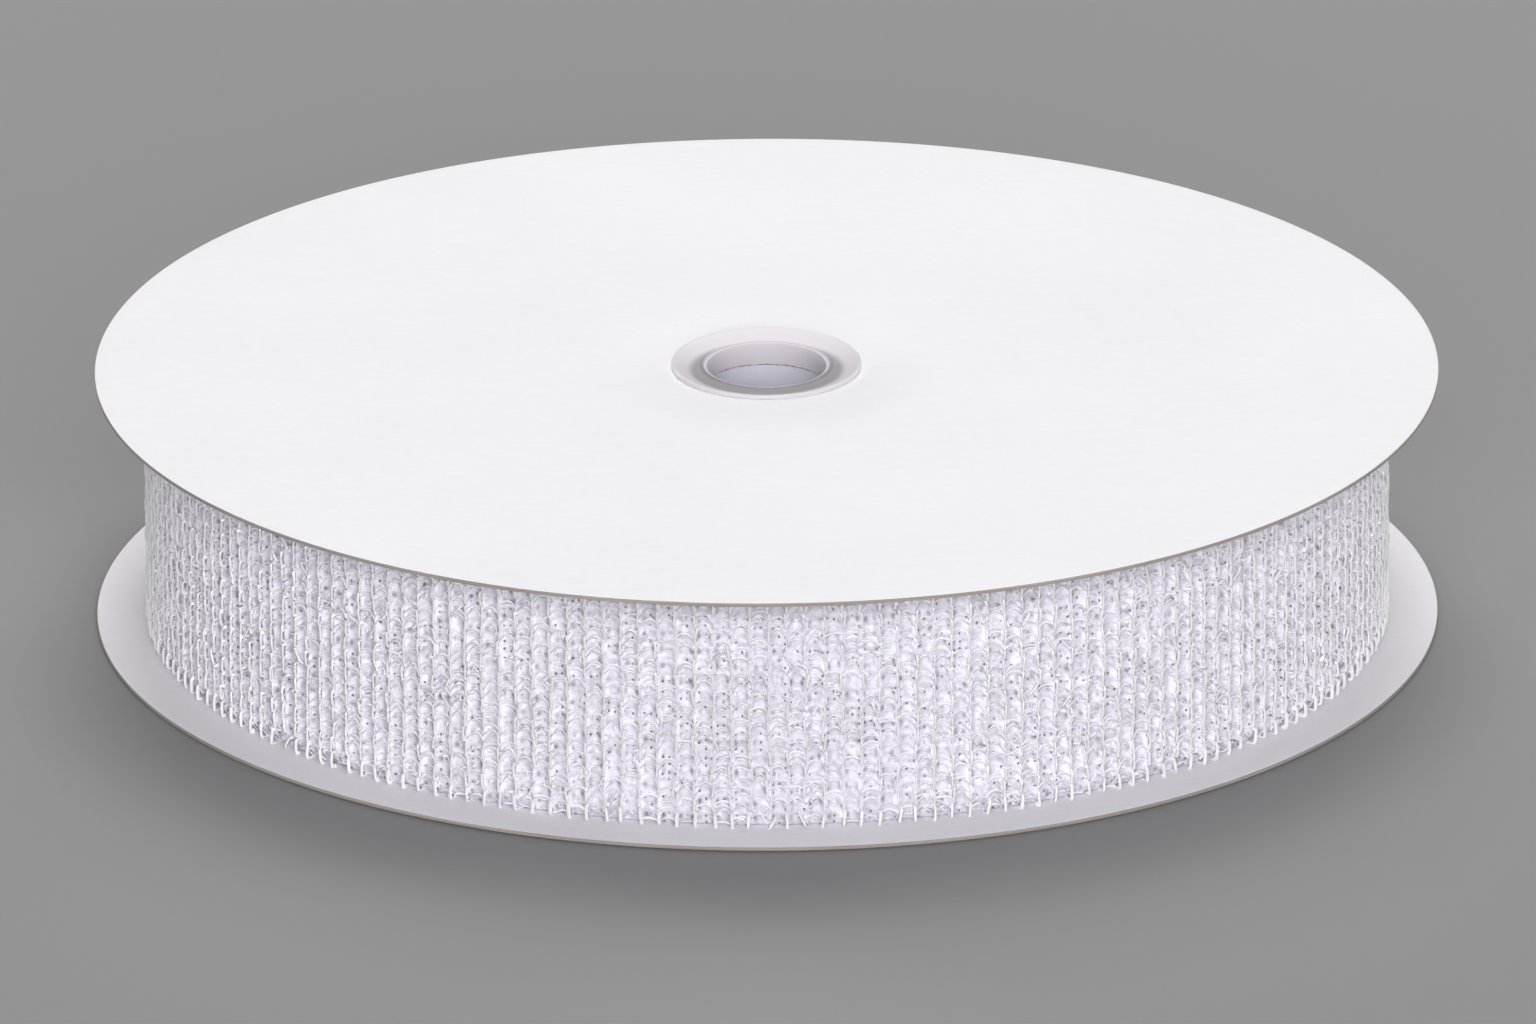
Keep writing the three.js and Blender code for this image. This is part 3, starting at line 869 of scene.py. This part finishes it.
# rows and columns of hooks: a straight stem, a flattened arch, and a leg cut short
# the arch is a superellipse, and neighbouring columns turn over opposite ways
def makeHooks(name, woundFrom, woundTo, columns, firstColumn, seed):
    rng = np.random.default_rng(seed)
    count = columns * hooks["rows"]
    column = np.repeat(np.arange(columns), hooks["rows"])
    row = np.tile(np.arange(hooks["rows"]), columns)
    step = (woundTo - woundFrom) / columns
    wound = woundFrom + (column + 0.5) * step + rng.normal(0, hooks["strayAlong"], count) * step
    rowPitch = tapeWidth / hooks["rows"]
    way = np.where((column + firstColumn) % 2 == 0, 1.0, -1.0)
    way = np.where(rng.random(count) < hooks["turnedRound"], -way, way)
    half = (hooks["halfSpan"] * (1 + rng.normal(0, hooks["straySpan"], count)))[:, None]
    rise = hooks["archRise"]
    tall = (hooks["height"] * (1 + limited(rng, hooks["strayHeight"], count)))[:, None]
    stem = tall - rise - hooks["radius"] * hooks["edgeCrown"]
    edgeRow = (row == hooks["rows"] - 1).astype(float) - (row == 0)
    acrossAt = (row + 0.5) * rowPitch - way * half[:, 0]
    acrossAt = acrossAt + rng.normal(0, hooks["strayAcross"], count) * rowPitch + hooks["overhang"] * edgeRow
    lean = rng.normal(0, hooks["strayLean"], count)
    twist = rng.normal(0, hooks["strayLean"], count)
    askew = np.sign(rng.normal(size=count)) * rng.uniform(*hooks["askewTurn"], count)
    twist = np.where(rng.random(count) < hooks["askew"], askew, twist)
    phi = math.pi * (1 - np.linspace(0, 1, hooks["archPoints"]))
    power = 2 / hooks["squareness"]
    archAcross = np.sign(np.cos(phi)) * np.abs(np.cos(phi)) ** power
    archOut = np.abs(np.sin(phi)) ** power
    root = np.full((count, 1), -hooks["rootDepth"])
    cutEnd = stem - hooks["legDrop"] * (1 + rng.normal(0, hooks["strayCut"], (count, 1)))
    cutEnd = np.where(rng.random((count, 1)) < hooks["uncut"], root, cutEnd)
    splay = rng.normal(0, hooks["straySplay"], (count, 1))
    across = np.concatenate([0 * root, half * (1 + archAcross), 2 * half + splay], axis=1)
    outward = np.concatenate([root, stem + rise * archOut, cutEnd], axis=1)
    overArch = np.concatenate([[0], np.sin(phi), [0]])
    along = np.linspace(0, 1, across.shape[1])
    spread = (hooks["cutSpread"] - 1) * easeBetween(*hooks["spreadFrom"], along)
    thick = np.where(edgeRow == 0, hooks["crown"], hooks["edgeCrown"])[:, None]
    crown = 1 + (thick - 1) * overArch * limited(rng, hooks["strayCrown"], (count, 1))
    radius = hooks["radius"] * crown * (1 + spread * limited(rng, hooks["straySpread"], (count, 1)))
    strands = strandPoints(across, outward, way, wound, acrossAt, lean, twist, radius)
    return meshPiece(name, [strands], sharp=60)


# loose yarns

floats = {
    "rows": 30,
    "kept": 0.8,                # the rest are sunk in the weave
    "radius": 0.095 * mm,
    "sides": 4,
    "points": 7,
    "high": 0.92 * mm,          # on the cords
    "low": 0.62 * mm,           # in the valleys
    "bow": 0.60 * mm,
    "rowStart": 0.2,            # in rows, at a cord
    "strayRow": 0.18,
    "strayBow": 0.45,
    "straySkew": 0.18 * mm,
    "strayLow": 0.08 * mm,
    "edgeRise": 0.3,            # share of the height that is left at the tape's edges
    "thickness": (1, 0.35, 0.4, 1.8),   # mean, spread and limits, as shares
}
tufts = {
    "toColumn": 26,
    "radius": 0.085 * mm,
    "points": 5,
    "length": (0.45 * mm, 1.1 * mm),
    "high": (0.5 * mm, 0.95 * mm),
    "dip": 0.35 * mm,           # their ends go down into the weave
    "bow": 0.3,                 # sideways, as a share of the length
    "edge": 0.9 * mm,
    "thickness": (1, 0.3, 0.5, 1.6),
}


# tubes along paths on the tape, heading is the angle from the tape's length
def yarnTubes(wound, standOff, across, heading, radius):
    centre = onTape(wound, standOff, across)
    angle = tape["start"] + wound
    outward = np.stack([np.cos(angle), np.sin(angle), 0 * angle], axis=-1)[:, :, None]
    along = np.stack([-np.sin(angle), np.cos(angle), 0 * angle], axis=-1)[:, :, None]
    heading = heading[..., None, None]
    side = np.cos(heading) * np.array([0, 0, 1]) - np.sin(heading) * along
    ring = turn * np.arange(floats["sides"]) / floats["sides"]
    return (centre[:, :, None] + (radius * np.cos(ring))[..., None] * outward
            - (radius * np.sin(ring))[..., None] * side)


# floats: from column to column, down into the valley and bowed up across the tape, both as parabolas
def floatPoints(woundFrom, step, columns, rng):
    rowPitch = tapeWidth / floats["rows"]
    column, row = np.nonzero(rng.random((columns, floats["rows"])) < floats["kept"])
    column, row = column[:, None], row[:, None]
    count = len(column)
    share = np.linspace(0, 1, floats["points"])[None, :]
    sag = 4 * share * (1 - share)
    bow = floats["bow"] * (1 + floats["strayBow"] * rng.normal(size=(count, 1)))
    skew = floats["straySkew"] * rng.normal(size=(count, 1)) * (share - 0.5)
    start = row + floats["rowStart"] + floats["strayRow"] * rng.normal(size=(count, 1))
    across = np.clip(start * rowPitch + bow * sag + skew, floats["radius"], tapeWidth - floats["radius"])
    low = floats["low"] + floats["strayLow"] * rng.normal(size=(count, 1))
    inside = easeBetween(0, weave["edgeTaper"], np.minimum(across, tapeWidth - across))
    rise = floats["high"] + (low - floats["high"]) * sag
    standOff = tape["ground"] + rise * (floats["edgeRise"] + (1 - floats["edgeRise"]) * inside)
    wound = np.clip(woundFrom + (column - 0.5 + share) * step, woundFrom, woundFrom + columns * step)
    radius = floats["radius"] * limited(rng, floats["thickness"], (count, 1, 1))
    return yarnTubes(wound, standOff, across, 0 * across, radius)


# tufts: short loose bits at any angle, highest in the middle, both bends as parabolas
def tuftPoints(woundFrom, step, columns, rng):
    count = columns * tufts["toColumn"]
    column = np.repeat(np.arange(columns), tufts["toColumn"])[:, None] + rng.random((count, 1))
    heading = rng.uniform(0, turn, (count, 1))
    share = np.linspace(-0.5, 0.5, tufts["points"])[None, :]
    length = rng.uniform(*tufts["length"], (count, 1))
    run = length * share
    aside = tufts["bow"] * length * rng.normal(size=(count, 1)) * (1 - 4 * share ** 2)
    alongAway = run * np.cos(heading) - aside * np.sin(heading)
    across = rng.uniform(tufts["edge"], tapeWidth - tufts["edge"], (count, 1))
    across = across + run * np.sin(heading) + aside * np.cos(heading)
    standOff = tape["ground"] + rng.uniform(*tufts["high"], (count, 1)) - tufts["dip"] * 4 * share ** 2
    wound = np.clip(woundFrom + column * step + alongAway / rollRadius, woundFrom, woundFrom + columns * step)
    radius = tufts["radius"] * limited(rng, tufts["thickness"], (count, 1, 1))
    return yarnTubes(wound, standOff, across, heading + 0 * across, radius)


# all loose yarns of a length as one mesh
def makeYarns(name, woundFrom, woundTo, columns, seed):
    rng = np.random.default_rng(seed)
    step = (woundTo - woundFrom) / columns
    blocks = [make(woundFrom, step, columns, rng) for make in (floatPoints, tuftPoints)]
    return meshPiece(name, blocks, sharp=80)


# outer turn in three lengths, and the free end

meetings = [0, 71, 142, weave["columns"]]       # hook columns at which the lengths meet
seeds = {"ground": 10, "hooks": 20, "yarns": 30}
freeSeed = 5                                    # added to those for the free end
makeInnerTurns()
for part, (first, last) in enumerate(zip(meetings, meetings[1:]), 1):
    span = (outerFrom + first * columnAngle, outerFrom + last * columnAngle)
    ground = makeGround(f"outerGround{part}", *span, last - first, seeds["ground"] + part)
    dress(ground, [groundFinish], nodes=["tape_outer_turn"])
    rows = makeHooks(f"outerHooks{part}", *span, last - first, first, seeds["hooks"] + part)
    dress(rows, [hookFinish], nodes=[f"outer_turn_hooks_{part}"])
    yarns = makeYarns(f"outerYarns{part}", *span, last - first, seeds["yarns"] + part)
    dress(yarns, [yarnFinish], nodes=["tape_outer_turn"])

freeColumns = round(tape["freeLength"] / columnPitch)
freeSpan = (freeFrom, freeTo, freeColumns)
freeGround = makeGround("freeEndGround", *freeSpan, seeds["ground"] + freeSeed)
dress(freeGround, [groundFinish], body=None, nodes=["tape_free_end"])
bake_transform(freeGround)
freeYarns = makeYarns("freeEndYarns", *freeSpan, seeds["yarns"] + freeSeed)
dress(freeYarns, [yarnFinish], body=None, nodes=["tape_free_end"])
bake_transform(freeYarns)
freeHooks = makeHooks("freeEndHooks", *freeSpan, weave["columns"], seeds["hooks"] + freeSeed)
dress(freeHooks, [hookFinish], body=None, nodes=["free_end_hooks"])
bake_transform(freeHooks)


# floor, light and camera

stageLook = {"size": 6.0, "colour": (0.29, 0.288, 0.288), "clouds": (6, 0.03)}
worldLook = {"colour": (1.0, 0.99, 1.0), "strength": 0.03}
lampAim = (0, 0, 0.013)
lamps = {       # place, size and power; the low ones keep the sides and back of the tape light
    "overhead": ((0.08, 0.66, 1.44), 1.0, 8.5),
    "overheadBack": ((0.0, 1.1, 1.15), 1.0, 8.5),
    "overheadSoft": ((0.0, 0.2, 1.6), 1.7, 1.6),
    "front": ((0.05, -1.7, 0.5), 1.4, 24),
    "frontLow": ((0.28, -1.7, 0.45), 0.5, 2.2),
    "frontHigh": ((0.15, -1.4, 1.1), 1.0, 4.2),
    "rightSide": ((1.65, 0.25, 0.28), 0.5, 3.0),
    "leftSide": ((-1.65, 0.25, 0.28), 0.5, 1.5),
    "leftBack": ((-1.25, 1.2, 0.28), 0.5, 7.5),
    "rightBack": ((1.25, 1.2, 0.28), 0.5, 5.0),
}


def makeFloor():
    half = stageLook["size"] / 2
    mesh = bpy.data.meshes.new("floor")
    corners = [(-half, -half, 0), (half, -half, 0), (half, half, 0), (-half, half, 0)]
    mesh.from_pydata(corners, [], [(0, 1, 2, 3)])
    floor = bpy.data.objects.new("floor", mesh)
    bpy.context.collection.objects.link(floor)
    finish = Finish("greySweep", Roughness=0.9)
    cloud = finish.cloud(finish.place, *stageLook["clouds"])
    finish.colour(finish.tint(stageLook["colour"], cloud.tone))
    floor.data.materials.append(finish.material)


# round lamp, turned towards the reel
def addLamp(name, place, size, power):
    lamp = bpy.data.lights.new(name, "AREA")
    lamp.shape = "DISK"
    lamp.size = size
    lamp.energy = power
    lampObject = bpy.data.objects.new(name, lamp)
    lampObject.location = place
    lampObject.rotation_mode = "QUATERNION"
    lampObject.rotation_quaternion = (Vector(lampAim) - Vector(place)).to_track_quat("-Z", "Y")
    bpy.context.collection.objects.link(lampObject)


# faint light from all round, and the lamps
def lightStudio():
    world = bpy.data.worlds.new("studio")
    world.use_nodes = True
    background = world.node_tree.nodes["Background"].inputs
    background["Color"].default_value = (*worldLook["colour"], 1)
    background["Strength"].default_value = worldLook["strength"]
    bpy.context.scene.world = world
    for name, settings in lamps.items():
        addLamp(name, *settings)
    bpy.context.scene.view_settings.view_transform = "Standard"
    print("lamps:", len(lamps))


photoCamera = {
    "distance": 3.5,                    # to the middle of the upper board
    "elevation": math.radians(20.267),
    "roll": math.radians(0.203),
    "lens": 787.6,
    "sensor": 36.0,
    "frame": (1536, 1024),
    "boardMiddle": (766.57, 366.42),    # where the photograph shows that middle
    "clipEnd": 50,
}


# camera of the photograph: it stands back from the board's middle, turned until that lands on its pixel
def makeCamera():
    look = photoCamera
    target = Vector((0, 0, upperHigh[2]))
    ahead = Vector((0, math.cos(look["elevation"]), -math.sin(look["elevation"])))
    level = Vector((1, 0, 0))
    upright = level.cross(ahead)
    right = level * math.cos(look["roll"]) - upright * math.sin(look["roll"])
    up = level * math.sin(look["roll"]) + upright * math.cos(look["roll"])
    focal = look["lens"] / look["sensor"] * look["frame"][0]
    offRight = look["frame"][0] / 2 - look["boardMiddle"][0]
    offDown = look["frame"][1] / 2 - look["boardMiddle"][1]
    sight = (ahead * focal + right * offRight - up * offDown).normalized()
    right = (right - sight * right.dot(sight)).normalized()
    up = right.cross(sight)
    camera = bpy.data.objects.new("camera", bpy.data.cameras.new("camera"))
    camera.data.lens = look["lens"]
    camera.data.sensor_width = look["sensor"]
    camera.data.clip_end = look["clipEnd"]
    turnMatrix = Matrix((right, up, -sight)).transposed()
    camera.matrix_world = Matrix.Translation(target - ahead * look["distance"]) @ turnMatrix.to_4x4()
    bpy.context.collection.objects.link(camera)
    bpy.context.scene.camera = camera


makeFloor()
lightStudio()
makeCamera()
